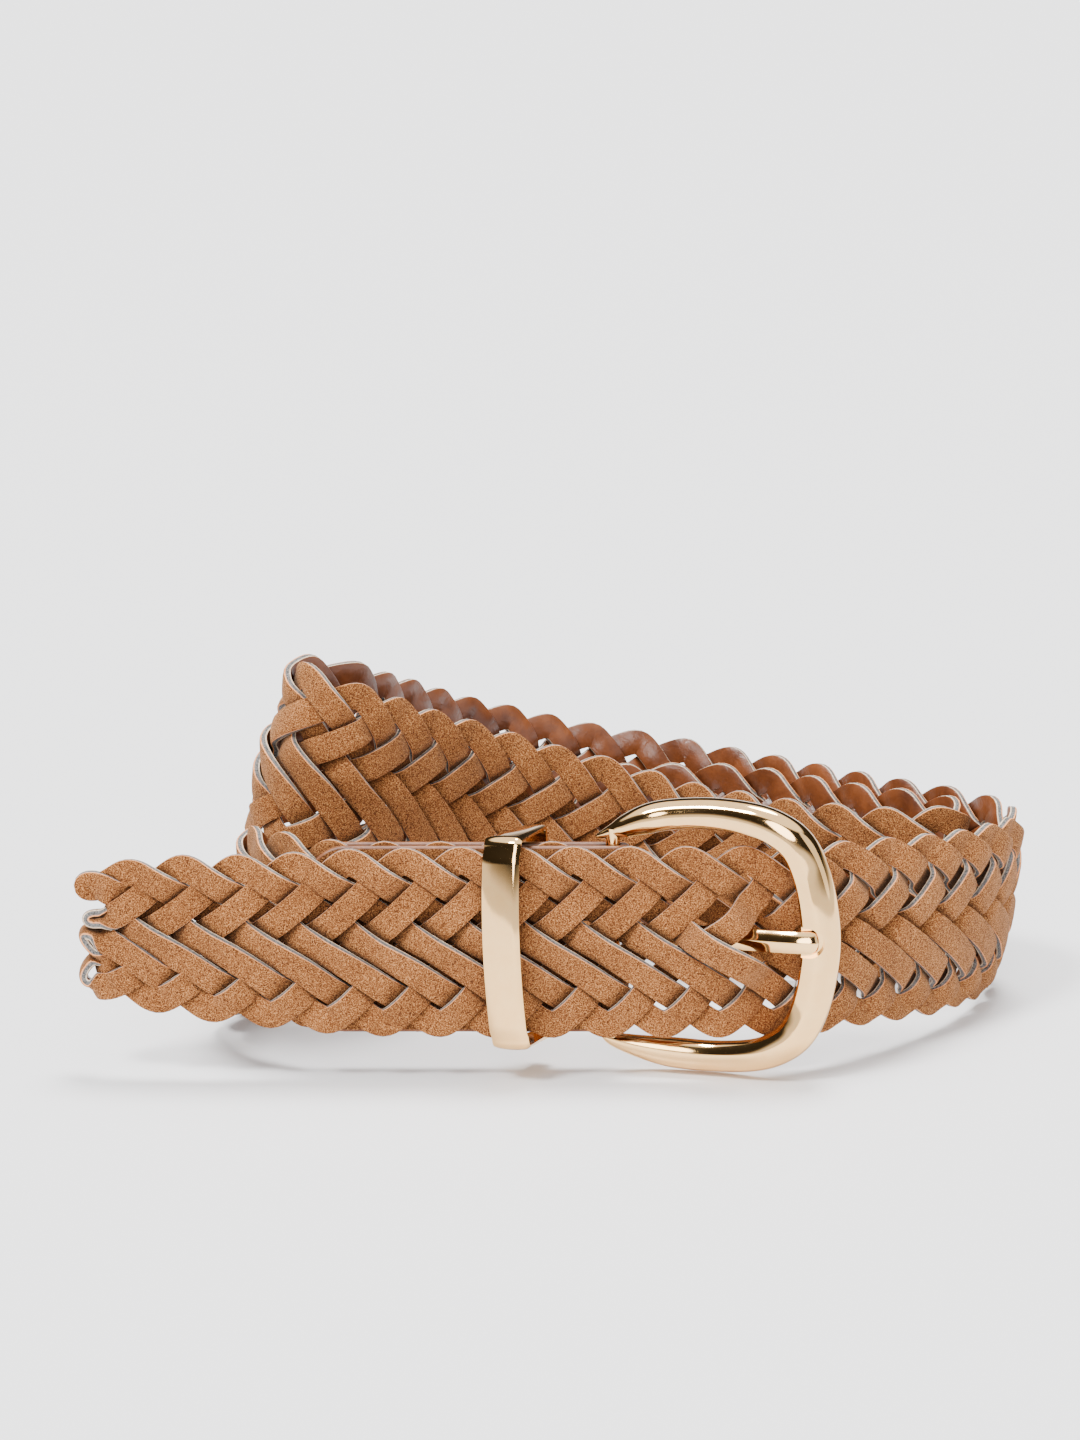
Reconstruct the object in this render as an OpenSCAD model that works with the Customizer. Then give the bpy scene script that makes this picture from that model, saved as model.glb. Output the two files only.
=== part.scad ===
// Braided suede belt, buckled and coiled twice, standing on its lower edge.
// +X runs along the front of the coil, +Y goes to the back, +Z is up, and the floor is Z = 0.

/* [Strap] */
// Width of the braided band, over its scalloped edges
strap_w = 35; // [34:0.5:36]
// Width of one leather strip
strip_w = 5.3; // [4.5:0.1:5.5]
// Thickness of one leather strip
strip_t = 1.25; // [1:0.05:1.3]
// Distance between two scallops on one edge of the band
pitch = 10; // [9.5:0.1:10.5]
// Width of the band at its narrow free end
tip_w = 25; // [24:0.5:30]

/* [Tab] */
// Width of the folded leather tab
tab_w = 33.6; // [32:0.2:34]
// Thickness of the tab leather
tab_t = 1.6; // [1.2:0.1:1.8]
// Length of each leg of the tab, from the heel bar
tab_len = 54; // [48:1:58]

/* [Buckle] */
// Height of the frame
frame_h = 49.6; // [49:0.2:51]
// Diameter of the heel bar
bar_d = 2.6; // [2.4:0.1:2.8]
// Width of the prong at its eye
prong_w = 4; // [3.6:0.1:4.4]
// Thickness of the prong
prong_t = 2.2; // [1.8:0.1:2.4]

/* [Keeper] */
// Outer height of the keeper loop
keeper_h = 38.6; // [38.4:0.2:40]
// Width of the keeper along the strap
keeper_w = 7.2; // [5:0.2:7.4]
// Angle at which the loose keeper sits across the strap
keeper_yaw = 24; // [18:1:26]

/* [Hidden] */

suede = "#b8733c";
hide = "#8a4a25";
thread = "#c9a27a";
gold = "#e3c9a0";

// ---- The way the coil lies: [x, y, z of the middle of the band, outward lean in degrees] ----
lean = -5;
front_z = 24.5;
bar_x = 13;
stack = 5.4;
rear_z = front_z + stack * sin(lean);
// The middle of the whole coil's box, and its lowest point, in the coil's own numbers
box_middle = [2.63, 49.96, -0.35];
COIL = [
    [-92, 4, 26.6, -4], [-80, 3, 26, -4], [-66, 1.4, 25.3, lean], [-50, 0.4, 24.8, lean],
    [-30, 0, front_z, lean], [-10, 0, front_z, lean], [10, 0, front_z, lean], [25, 0, front_z, lean],
    [35.5, 1, 24.3, lean], [46.5, 4.8, 23.7, -4], [57.2, 11.8, 22.8, -2], [68, 21.5, 21.4, 1],
    [77.5, 33, 19.9, 4], [84, 45, 18.6, 7], [86.8, 56.5, 17.8, 8], [84, 66.5, 17.6, 8],
    [76.5, 74, 17.6, 7], [67, 80.5, 17.6, 6], [56.5, 89.5, 17.6, 6], [46, 97, 17.9, 6],
    [34, 102.5, 18.8, 6], [21, 104, 20.8, 7], [8, 100.5, 23.9, 8], [-3, 94, 27.6, 8],
    [-13, 86, 31.8, 7], [-22, 76, 36.4, 4], [-30, 66, 41, -1], [-36.5, 58.5, 45, -6],
    [-42.5, 53.5, 48.2, -11], [-47.6, 49.5, 49.9, -16], [-49.2, 44, 50.3, -17], [-45.6, 38.8, 49.4, -12],
    [-39, 37.5, 46.9, -6], [-31, 41, 43, -3], [-22, 49, 38.2, -2], [-12, 58, 33, -2],
    [-1, 64, 28.5, -2], [10, 68, 24.6, -2], [22, 69, 21, -2], [35, 67, 18.8, -2],
    [48, 62.4, 17.8, -2], [61, 58.4, 17.6, -1], [71.5, 57.6, 17.6, 0], [78, 60.8, 17.6, 2],
    [78, 66, 17.6, 2], [71.5, 70.8, 17.6, -1], [61.5, 77.8, 17.6, -2], [50, 86.3, 17.5, -3],
    [38, 93, 17.5, -4], [25, 95.5, 17.5, -4], [12, 92.5, 17.5, -4], [-1, 84.5, 17.5, -4],
    [-13, 74, 17.4, -6], [-24, 62.5, 17.3, -8], [-34, 52.8, 17.2, -9], [-43.5, 46, 17, -10],
    [-50.8, 39.6, 17.4, -12], [-55, 31, 20.2, -11], [-54.4, 22.2, 22.6, -9], [-49.6, 14.2, 23.8, -7],
    [-43, 8.8, 24.1, -6], [-36.5, 6.2, 24.1, lean], [-28, stack, rear_z, lean], [-12, stack, rear_z, lean],
    [4, stack, rear_z, lean], [20, stack, rear_z, lean]
];

function unit(v) = v / norm(v);
function clamp01(x) = min(1, max(0, x));
function ease(x) = let (c = clamp01(x)) c * c * (3 - 2 * c);

// Catmull-Rom curve through the coil's points, and its length so far at each step
curve_steps = 5;
function spline(p, i, t) =
    let (a = p[max(i - 1, 0)], b = p[i], c = p[i + 1], d = p[min(i + 2, len(p) - 1)])
    0.5 * (2 * b + (c - a) * t + (2 * a - 5 * b + 4 * c - d) * t * t + (3 * b - a - 3 * c + d) * t * t * t);
CURVE = [
    for (i = [0 : len(COIL) - 2]) for (k = [0 : curve_steps - 1]) spline(COIL, i, k / curve_steps),
    COIL[len(COIL) - 1]
];
function xyz(p) = [p[0], p[1], p[2]];
function step_length(i) = norm(xyz(CURVE[min(i + 1, len(CURVE) - 1)]) - xyz(CURVE[i]));
STEPS = [for (i = 0, s = 0; i < len(CURVE); s = s + step_length(i), i = i + 1) s];
WAY = [for (axis = [0 : 3]) [for (i = [0 : len(CURVE) - 1]) [STEPS[i], CURVE[i][axis]]]];

// Where the band's middle line is at a length s along the coil, and its frame there
function middle(s) = [lookup(s, WAY[0]), lookup(s, WAY[1]), lookup(s, WAY[2])] - box_middle;
function along(s) = unit(middle(s + 1.5) - middle(s - 1.5));
function upright(s) = let (a = along(s)) unit([0, 0, 1] - a[2] * a);
function band_frame(s) =
    let (a = along(s), u = upright(s), tilt = lookup(s, WAY[3]), up = u * cos(tilt) + cross(a, u) * sin(tilt))
    [middle(s), up, cross(a, up)];
function place(s, v, n) = let (f = band_frame(s)) f[0] + v * f[1] + n * f[2];

// ---- Eight-strand flat braid: over 1, under 2, over 3, under 1 ----
strands = 8;
period = strands * pitch;
falling = 0.58 * period;
rising = period - falling;
// Which strand lies on top at each crossing, from the upper edge (0) to the lower edge (8)
WEAVE = [0, 1, -1, -1, 1, 1, 1, -1, 0];
lift = strip_t / 2 + 0.03;
roll = 9;
soften = 0.985;
flatten = 4;

tip_s = 13;
end_s = STEPS[len(STEPS) - 1] - 16;
prong_s = 126.2;
braid_start = prong_s - falling / 2 - pitch / 2;

// Length along the strap at crossing number j of strand k
function crossing_s(k, j) =
    let (lap = floor(j / 16), c = j - 16 * lap)
    braid_start + k * pitch + lap * period + (c < 8 ? falling * c / 8 : falling + rising * (c - 8) / 8);
// Crossing number, as a real number, at length s
function crossing_at(k, s) =
    let (q = (s - braid_start - k * pitch) / period, lap = floor(q), r = (q - lap) * period)
    16 * lap + (r < falling ? 8 * r / falling : 8 + 8 * (r - falling) / rising);
// The band narrows towards its tip: [length along the strap, width]
TAPER = [[tip_s, tip_w], [tip_s + 12, tip_w + 4], [tip_s + 45, strap_w - 1], [tip_s + 70, strap_w]];
function half_width(s) = (lookup(s, TAPER) - strip_w) / 2;
function height_in_band(s, c) =
    let (angle = 90 + 180 * c / 8, bent = angle - flatten * sin(2 * angle))
    half_width(s) * asin(soften * sin(bent)) / asin(soften);
function weave(c) =
    let (m = c - 16 * floor(c / 16), down = m < 8, k = down ? m : 16 - m, i = min(floor(k), 7))
    (down ? 1 : -1) * (WEAVE[i] + (WEAVE[i + 1] - WEAVE[i]) * ease((k - i - 0.2) / 0.6));
function strip_roll(c) =
    let (m = c - 16 * floor(c / 16)) m < 8 ? roll * ease(m / 2) * ease((8 - m) / 2) : 0;

// The four strands beside the prong part: two pass in front of it and two behind it
part_front = 6;
part_back = 3.4;
function parting(k, c) =
    let (
        m = c - 16 * floor(c / 16),
        middle_crossing = c - m + (m < 8 ? 4 : 12),
        d = crossing_s(k, middle_crossing) - prong_s,
        side = d < 0 ? 0.5 : -0.5
    )
    abs(d) > pitch ? 0 : (d < 0 ? part_front : -part_back) * ease(1.5 - abs(c - middle_crossing - side));
// The tip and the tab hold the strips flat
function settle(s) = ease((s - tip_s) / 10) * ease((end_s - s - 45) / 15);
function strand_station(k, s) =
    let (c = crossing_at(k, s))
    [s, height_in_band(s, c), lift * weave(c) + parting(k, c), strip_roll(c) * settle(s)];

// At the tip the strands are joined in pairs, where four long strips fold back on edge:
// [strand that holds the fold, the strand it becomes, side it turns to]
LOOPS = [[7, 0, -1], [6, 1, -1], [4, 5, 1], [3, 2, 1]];
loop_reach = 7;
function tip_heading(k) =
    let (a = strand_station(k, tip_s), b = strand_station(k, tip_s + 1)) unit([a[0] - b[0], a[1] - b[1]]);
function bezier(a, b, c, d, t) =
    pow(1 - t, 3) * a + 3 * t * pow(1 - t, 2) * b + 3 * t * t * (1 - t) * c + pow(t, 3) * d;
function tip_loop(k, mate, turn) =
    let (
        from = strand_station(mate, tip_s),
        to = strand_station(k, tip_s),
        a = [from[0], from[1]],
        d = [to[0], to[1]],
        b = a + loop_reach * tip_heading(mate),
        c = d + loop_reach * tip_heading(k)
    )
    [for (t = [0.02, 0.15, 0.29, 0.43, 0.57, 0.71, 0.85])
        let (p = bezier(a, b, c, d, t), n = from[2] * (1 - t) + to[2] * t)
        [p[0], p[1], n, turn * 80 * ease(sin(180 * t) * 1.6)]];
function loop_of(k) = [for (l = LOOPS) if (l[0] == k) l];
function strand_path(k) = concat(
    [for (l = loop_of(k)) for (st = tip_loop(l[0], l[1], l[2])) st],
    [strand_station(k, tip_s)],
    [for (j = [floor(crossing_at(k, tip_s + 2)) + 1 : floor(crossing_at(k, end_s - 2))])
        strand_station(k, crossing_s(k, j))],
    [strand_station(k, end_s)]
);

// A ribbon through stations [s, v, n, roll]: one ring of four corners at each
function ring(stations, i) =
    let (
        st = stations[i],
        before = stations[max(i - 1, 0)],
        after = stations[min(i + 1, len(stations) - 1)],
        heading = unit([after[0] - before[0], after[1] - before[1]]),
        side = [-heading[1], heading[0]],
        c = cos(st[3]), r = sin(st[3]), w = strip_w / 2, t = strip_t / 2
    )
    [for (q = [[w, t], [-w, t], [-w, -t], [w, -t]])
        let (across = q[0] * c - q[1] * r)
        place(st[0] + across * side[0], st[1] + across * side[1], st[2] + q[0] * r + q[1] * c)];
function join(rings) = [for (r = rings) for (p = r) p];
function tube_faces(count, sides) = concat(
    [[for (i = [0 : sides - 1]) i]],
    [for (i = [0 : count - 2]) for (k = [0 : sides - 1]) for (half = [0, 1])
        let (a = i * sides + k, b = i * sides + (k + 1) % sides)
        half == 0 ? [a, a + sides, b] : [b, a + sides, b + sides]],
    [[for (i = [sides - 1 : -1 : 0]) (count - 1) * sides + i]]
);
module strand(k) {
    path = strand_path(k);
    color(suede) polyhedron(join([for (i = [0 : len(path) - 1]) ring(path, i)]), tube_faces(len(path), 4));
}

// ---- Buckle: its own frame has its origin on the heel bar, and leans with the strap ----
module at_bar() {
    translate([bar_x, 0, front_z] - box_middle) rotate([lean, 0, 0]) translate([0, stack, 0]) children();
}
// The strap hangs a little below the middle of the frame
frame_rise = 0.7;
module on_frame() { at_bar() translate([0, 0, frame_rise]) children(); }
module upright_rod(d, h) { cylinder(d = d, h = h, center = true, $fn = 48); }
// A flat plate in the X-Z plane, with its thickness from y0 to y1
module plate(y0, y1) { translate([0, y1, 0]) rotate([90, 0, 0]) linear_extrude(y1 - y0) children(); }

fit = 0.05;
fold_r = bar_d / 2 + fit;
tab_corner = 6;
slot_w = prong_w + 1.2;
slot_len = 6;
module tab_outline() {
    translate([-tab_len, tab_corner - tab_w / 2]) square([tab_len, tab_w - 2 * tab_corner]);
    translate([tab_corner - tab_len, -tab_w / 2]) square([tab_len - tab_corner, tab_w]);
    for (side = [-1, 1])
        translate([tab_corner - tab_len, side * (tab_w / 2 - tab_corner)]) circle(r = tab_corner, $fn = 48);
}
module tab() {
    color(hide) at_bar() difference() {
        union() {
            plate(-fold_r - tab_t, -fold_r) tab_outline();
            plate(fold_r, fold_r + tab_t) tab_outline();
            intersection() {
                upright_rod(2 * (fold_r + tab_t), tab_w);
                translate([0, -10, -tab_w]) cube([10, 20, 2 * tab_w]);
            }
        }
        upright_rod(2 * fold_r, tab_w + 2);
        translate([-slot_len, -10, frame_rise - slot_w / 2]) cube([slot_len + 10, 20, slot_w]);
    }
}

// Lock stitches: a bar of thread on each face, and a thread through the tab at every hole
stitch = 3.2;
thread_d = 0.7;
module stitch_hole() {
    rotate([90, 0, 0]) cylinder(d = thread_d, h = 2 * (fold_r + tab_t) + thread_d / 2, center = true, $fn = 16);
}
module stitch_line(count) {
    for (i = [0 : count]) translate([i * stitch, 0, 0]) stitch_hole();
    for (side = [-1, 1]) translate([0, side * (fold_r + tab_t), 0])
        rotate([0, 90, 0]) cylinder(d = thread_d, h = count * stitch, $fn = 16);
}
stitch_edge = 3;
stitch_count = floor((tab_len - 15) / stitch);
module stitching_row(side) {
    color(thread) at_bar() translate([-8.8 - stitch_count * stitch, 0, side * (tab_w / 2 - stitch_edge)])
        stitch_line(stitch_count);
}
bar_stitches = floor((tab_w / 2 - stitch_edge - slot_w / 2 - 2) / stitch);
module stitching_bar() {
    color(thread) at_bar() for (side = [-1, 1])
        translate([-slot_len + 1, 0, frame_rise + side * (slot_w / 2 + 1.5)])
            rotate([0, -side * 90, 0]) stitch_line(bar_stitches);
}

// Half of the frame, from a horn to the middle of the front bar, and the points of the two horns:
// [x, y, z, half the width, half the thickness]
UPPER_POINT = [
    [-2.6, 0, 17.6, 0.45, 0.5], [0, 0, 18.5, 1.25, 1.3], [2, -0.2, 19.3, 1.9, 1.8], [6, -0.6, 20.7, 2.6, 2.3]
];
LOWER_POINT = [[-1.6, 0, 18.8, 0.45, 0.5], [0, 0, 19.4, 1.2, 1.3], [4.5, -0.4, 20.6, 2, 2]];
HALF = [
    [10.5, -1.1, 21.6, 2.7, 2.4], [18, -2.6, 22, 2.75, 2.5], [25, -4.7, 21.3, 2.9, 2.5],
    [29.5, -6, 19.6, 3.1, 2.5], [32.8, -7, 16.8, 3.3, 2.5], [35, -7.7, 12.2, 3.45, 2.5], [36.3, -8.1, 6.6, 3.5, 2.5]
];
front_bar = [36.9, -8.2, 0, 3.55, 2.5];
horn_scale = frame_h / 49.6;
// The heel bar's ends stop inside the horns
bar_reach = 18.9;
function scaled(p, side) = [p[0], p[1], side * p[2] * horn_scale, p[3], p[4]];
function backwards(list) = [for (i = [len(list) - 1 : -1 : 0]) list[i]];
FRAME_WAY = concat(
    [for (p = concat(LOWER_POINT, HALF)) scaled(p, -1)], [front_bar],
    [for (p = backwards(concat(UPPER_POINT, HALF))) scaled(p, 1)]
);
FRAME_CURVE = [
    for (i = [0 : len(FRAME_WAY) - 2]) for (t = [0, 0.5]) spline(FRAME_WAY, i, t), scaled(UPPER_POINT[0], 1)
];
frame_sides = 14;
function tube_ring(curve, i, sides) =
    let (
        p = curve[i],
        ahead = unit(xyz(curve[min(i + 1, len(curve) - 1)]) - xyz(curve[max(i - 1, 0)])),
        across = unit(cross(ahead, [0, -1, 0])),
        face = cross(ahead, across)
    )
    [for (k = [0 : sides - 1]) let (a = 360 * k / sides)
        xyz(p) + p[3] * cos(a) * across + p[4] * sin(a) * face];
module tube(curve, sides) {
    polyhedron(join([for (i = [0 : len(curve) - 1]) tube_ring(curve, i, sides)]), tube_faces(len(curve), sides));
}
notch_w = 5.5;
notch_depth = 1.8;
notch_x = -2.3;
module buckle_frame() {
    color(gold) on_frame() difference() {
        tube(FRAME_CURVE, frame_sides);
        translate([front_bar[0] + notch_x, front_bar[1] - front_bar[4] + notch_depth, 0]) {
            rotate([90, 0, 0]) cylinder(d = notch_w, h = 5, $fn = 48);
            translate([-6, -5, -notch_w / 2]) cube([6, 5, notch_w]);
        }
    }
}
module heel_bar() { color(gold) on_frame() upright_rod(bar_d, 2 * bar_reach * horn_scale); }

// Shank of the prong: [x, y, z, half the width, half the thickness]
prong_tip = 36.2;
SHANK = [
    [2.2, -0.9, 0, 0.5, 0.46], [6, -1.5, 0, 0.5, 0.5], [11, -2.2, 0, 0.5, 0.5], [15, -3.1, 0, 0.49, 0.5],
    [18, -4.2, 0, 0.48, 0.5], [21, -5.5, 0, 0.48, 0.5], [24, -6.7, 0, 0.48, 0.5], [27, -7.9, 0, 0.48, 0.5],
    [30, -9.1, 0, 0.47, 0.5], [32.5, -9.9, 0, 0.46, 0.5], [34.6, -10.2, 0, 0.44, 0.48],
    [prong_tip, -10.2, 0, 0.32, 0.36]
];
module prong() {
    curve = [for (p = SHANK) [p[0], p[1], p[2], p[3] * prong_w, p[4] * prong_t]];
    color(gold) on_frame() {
        difference() {
            upright_rod(6, prong_w);
            upright_rod(bar_d + 2 * fit, prong_w + 2);
        }
        tube(curve, 12);
    }
}

// The keeper is a loose metal loop round both layers of the strap
keeper_x = -16;
keeper_y = -1.4;
keeper_rise = 0.2;
keeper_t = 1.2;
keeper_depth = 16.4;
keeper_tilt = 2.5;
// Its front plate bows out by this much in the middle
bow = 2.2;
bow_r = (pow(keeper_h / 2, 2) + bow * bow) / (2 * bow);
module keeper_side(wall) {
    intersection() {
        translate([bow_r - keeper_depth / 2 - bow, 0]) circle(r = bow_r - wall, $fn = 360);
        translate([-keeper_depth / 2 - bow, wall - keeper_h / 2])
            square([keeper_depth + bow - wall, keeper_h - 2 * wall]);
    }
}
module keeper() {
    color(gold) at_bar() translate([keeper_x, keeper_y, keeper_rise]) rotate([0, -keeper_tilt, -keeper_yaw])
        difference() {
            rotate([90, 0, 90]) linear_extrude(keeper_w, center = true) keeper_side(0);
            rotate([90, 0, 90]) linear_extrude(keeper_w + 2, center = true) keeper_side(keeper_t);
        }
}

strand(0);  // strand_1
strand(1);  // strand_2
strand(2);  // strand_3
strand(3);  // strand_4
strand(4);  // strand_5
strand(5);  // strand_6
strand(6);  // strand_7
strand(7);  // strand_8
tab();
stitching_row(1);  // stitching_upper
stitching_row(-1);  // stitching_lower
stitching_bar();
buckle_frame();
heel_bar();
prong();
keeper();
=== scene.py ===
import bpy
import math
import numpy as np
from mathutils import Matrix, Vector


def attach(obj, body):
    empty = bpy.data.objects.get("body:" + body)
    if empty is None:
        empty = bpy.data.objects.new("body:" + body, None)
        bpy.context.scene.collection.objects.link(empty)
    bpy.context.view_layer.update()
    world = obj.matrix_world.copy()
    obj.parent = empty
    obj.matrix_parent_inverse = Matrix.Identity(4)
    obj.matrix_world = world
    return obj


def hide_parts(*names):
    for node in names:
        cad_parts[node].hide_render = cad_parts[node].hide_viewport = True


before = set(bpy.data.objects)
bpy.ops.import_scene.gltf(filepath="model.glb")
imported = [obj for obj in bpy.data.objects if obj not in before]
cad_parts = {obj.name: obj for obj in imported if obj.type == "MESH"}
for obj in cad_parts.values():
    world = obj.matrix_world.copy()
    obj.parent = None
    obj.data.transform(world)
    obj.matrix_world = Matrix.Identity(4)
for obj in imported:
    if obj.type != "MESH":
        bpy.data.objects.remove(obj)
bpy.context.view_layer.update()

MM = 0.001

# ---- Sizes, in millimetres, as in the CAD. The parting round the prong, the keeper's wall and place, and
# the frame's arms differ a little from the CAD's, which keeps the thicker strips here clear of them ----
STRAP_W = 35.0
STRIP_W = 5.3
STRIP_T = 1.25
PITCH = 10.0
TIP_W = 25.0
TAB_W = 33.6
TAB_T = 1.6
TAB_LEN = 54.0
BAR_D = 2.6
PRONG_W = 4.0
PRONG_T = 2.2
KEEPER_H = 38.6
KEEPER_W = 7.2
KEEPER_YAW = 24.0

LEAN = -5.0
FRONT_Z = 24.5
BAR_X = 13.0
STACK = 5.4
FRAME_RISE = 0.7
REAR_Z = FRONT_Z + STACK * math.sin(math.radians(LEAN))
BOX_MIDDLE = np.array([2.63, 49.96, -0.35])

# ---- The way the coil lies: x, y, z of the middle of the band, outward lean in degrees ----
COIL = np.array([
    [-92, 4, 26.6, -4], [-80, 3, 26, -4], [-66, 1.4, 25.3, LEAN], [-50, 0.4, 24.8, LEAN],
    [-30, 0, FRONT_Z, LEAN], [-10, 0, FRONT_Z, LEAN], [10, 0, FRONT_Z, LEAN], [25, 0, FRONT_Z, LEAN],
    [35.5, 1, 24.3, LEAN], [46.5, 4.8, 23.7, -4], [57.2, 11.8, 22.8, -2], [68, 21.5, 21.4, 1],
    [77.5, 33, 19.9, 4], [84, 45, 18.6, 7], [86.8, 56.5, 17.8, 8], [84, 66.5, 17.6, 8],
    [76.5, 74, 17.6, 7], [67, 80.5, 17.6, 6], [56.5, 89.5, 17.6, 6], [46, 97, 17.9, 6],
    [34, 102.5, 18.8, 6], [21, 104, 20.8, 7], [8, 100.5, 23.9, 8], [-3, 94, 27.6, 8],
    [-13, 86, 31.8, 7], [-22, 76, 36.4, 4], [-30, 66, 41, -1], [-36.5, 58.5, 45, -6],
    [-42.5, 53.5, 48.2, -11], [-47.6, 49.5, 49.9, -16], [-49.2, 44, 50.3, -17], [-45.6, 38.8, 49.4, -12],
    [-39, 37.5, 46.9, -6], [-31, 41, 43, -3], [-22, 49, 38.2, -2], [-12, 58, 33, -2],
    [-1, 64, 28.5, -2], [10, 68, 24.6, -2], [22, 69, 21, -2], [35, 67, 18.8, -2],
    [48, 62.4, 17.8, -2], [61, 58.4, 17.6, -1], [71.5, 57.6, 17.6, 0], [78, 60.8, 17.6, 2],
    [78, 66, 17.6, 2], [71.5, 70.8, 17.6, -1], [61.5, 77.8, 17.6, -2], [50, 86.3, 17.5, -3],
    [38, 93, 17.5, -4], [25, 95.5, 17.5, -4], [12, 92.5, 17.5, -4], [-1, 84.5, 17.5, -4],
    [-13, 74, 17.4, -6], [-24, 62.5, 17.3, -8], [-34, 52.8, 17.2, -9], [-43.5, 46, 17, -10],
    [-50.8, 39.6, 17.4, -12], [-55, 31, 20.2, -11], [-54.4, 22.2, 22.6, -9], [-49.6, 14.2, 23.8, -7],
    [-43, 8.8, 24.1, -6], [-36.5, 6.2, 24.1, LEAN], [-28, STACK, REAR_Z, LEAN], [-12, STACK, REAR_Z, LEAN],
    [4, STACK, REAR_Z, LEAN], [20, STACK, REAR_Z, LEAN],
])


def ease(x):
    c = np.clip(x, 0, 1)
    return c * c * (3 - 2 * c)


def catmull(points, steps):
    """A smooth curve through the points, with that many steps between each two."""
    out = []
    last = len(points) - 1
    for i in range(last):
        a, b, c, d = points[max(i - 1, 0)], points[i], points[i + 1], points[min(i + 2, last)]
        for k in range(steps):
            t = k / steps
            out.append(0.5 * (2 * b + (c - a) * t + (2 * a - 5 * b + 4 * c - d) * t * t
                              + (3 * b - a - 3 * c + d) * t ** 3))
    out.append(points[last])
    return np.array(out)


def lengths(points):
    """Length along a line of points, at each of them."""
    return np.concatenate([[0], np.cumsum(np.linalg.norm(np.diff(points[:, :3], axis=0), axis=1))])


CURVE = catmull(COIL, 8)
STEPS = lengths(CURVE)


def middle(s):
    return np.stack([np.interp(s, STEPS, CURVE[:, i]) for i in range(3)], -1) - BOX_MIDDLE


def unit(v):
    return v / np.linalg.norm(v, axis=-1, keepdims=True)


def place(s, v, n):
    """World points at length s along the strap, height v in the band, and n outwards from it."""
    a = unit(middle(s + 2.5) - middle(s - 2.5))
    u = unit(np.array([0, 0, 1.0]) - a * a[..., 2:3])
    t = np.radians(np.interp(s, STEPS, CURVE[:, 3]))[..., None]
    up = u * np.cos(t) + np.cross(a, u) * np.sin(t)
    return middle(s) + v[..., None] * up + n[..., None] * np.cross(a, up)


# ---- The braid ----
STRANDS = 8
PERIOD = STRANDS * PITCH
FALLING = 0.58 * PERIOD
RISING = PERIOD - FALLING
WEAVE = np.array([0, 1, -1, -1, 1, 1, 1, -1, 0.0])
LIFT = STRIP_T / 2 + 0.12
SOFTEN = 0.985
FLATTEN = 4.0
TIP_S = 13.0
END_S = STEPS[-1] - 16
PRONG_S = 126.2
BRAID_START = PRONG_S - FALLING / 2 - PITCH / 2
PART_FRONT = 4.6
PART_BACK = 3.4
# Where the keeper holds the strips still, and the sharp bend at the right, where they stand up
KEEPER_S = 89.5
RIGHT_BEND = (150, 215)
# How far the strips roll about their own length, by crossing, going down and coming up, in degrees
ROLL_DOWN = ([0, 0.8, 1.6, 2.5, 3.4, 4.3, 5.2, 6.2, 7.0, 8], [0, 17, 9, 0, 8, 27, 19, 11, 0, 0])
ROLL_UP = ([0, 1, 2, 2.7, 3.6, 5, 6.3, 7.1, 8], [0, 0, -5, -6, 0, 0, 6, 17, 0])


def crossing_s(k, c):
    lap = np.floor(c / 16)
    m = c - 16 * lap
    within = np.where(m < 8, FALLING * m / 8, FALLING + RISING * (m - 8) / 8)
    return BRAID_START + k * PITCH + lap * PERIOD + within


def crossing_at(k, s):
    q = (s - BRAID_START - k * PITCH) / PERIOD
    lap = math.floor(q)
    r = (q - lap) * PERIOD
    return 16 * lap + (8 * r / FALLING if r < FALLING else 8 + 8 * (r - FALLING) / RISING)


def half_width(s):
    lengths_from_tip = [TIP_S, TIP_S + 12, TIP_S + 45, TIP_S + 70]
    return (np.interp(s, lengths_from_tip, [TIP_W, TIP_W + 4, STRAP_W - 1, STRAP_W]) - STRIP_W) / 2


def height_in_band(s, c):
    angle = 90 + 180 * c / 8
    bent = np.radians(angle - FLATTEN * np.sin(np.radians(2 * angle)))
    return half_width(s) * np.arcsin(SOFTEN * np.sin(bent)) / math.asin(SOFTEN)


def weave(c):
    m = c - 16 * np.floor(c / 16)
    down = m < 8
    k = np.where(down, m, 16 - m)
    i = np.minimum(np.floor(k), 7).astype(int)
    level = WEAVE[i] + (WEAVE[i + 1] - WEAVE[i]) * ease((k - i - 0.25) / 0.5)
    long_float = 0.5 * np.clip(1 - np.abs(k - 5) / 1.5, 0, 1) ** 0.7
    short_float = -0.35 * np.clip(1 - np.abs(k - 2.5) / 1.1, 0, 1) ** 0.7
    return np.where(down, 1, -1) * (level + long_float + short_float)


def settle(s):
    """The tip and the tab hold the strips flat."""
    return ease((s - TIP_S) / 10) * ease((END_S - s - 42) / 12)


def strip_roll(s, c):
    m = c - 16 * np.floor(c / 16)
    down = np.interp(m, *ROLL_DOWN)
    up = np.interp(16 - m, *ROLL_UP)
    return np.where(m < 8, down, up) * settle(s)


def parting(k, c):
    m = c - 16 * np.floor(c / 16)
    mid = c - m + np.where(m < 8, 4, 12)
    d = crossing_s(k, mid) - PRONG_S
    side = np.where(d < 0, 0.5, -0.5)
    push = np.where(d < 0, PART_FRONT, -PART_BACK) * ease(1.5 - np.abs(c - mid - side))
    return np.where(np.abs(d) > PITCH, 0, push)


def wander(seed, x, step):
    """A slow, even wavering between -1 and 1 along x."""
    marks = np.arange(-80, 1000, step)
    return np.interp(x, marks, np.random.default_rng(seed).uniform(-1, 1, len(marks)))


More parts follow.
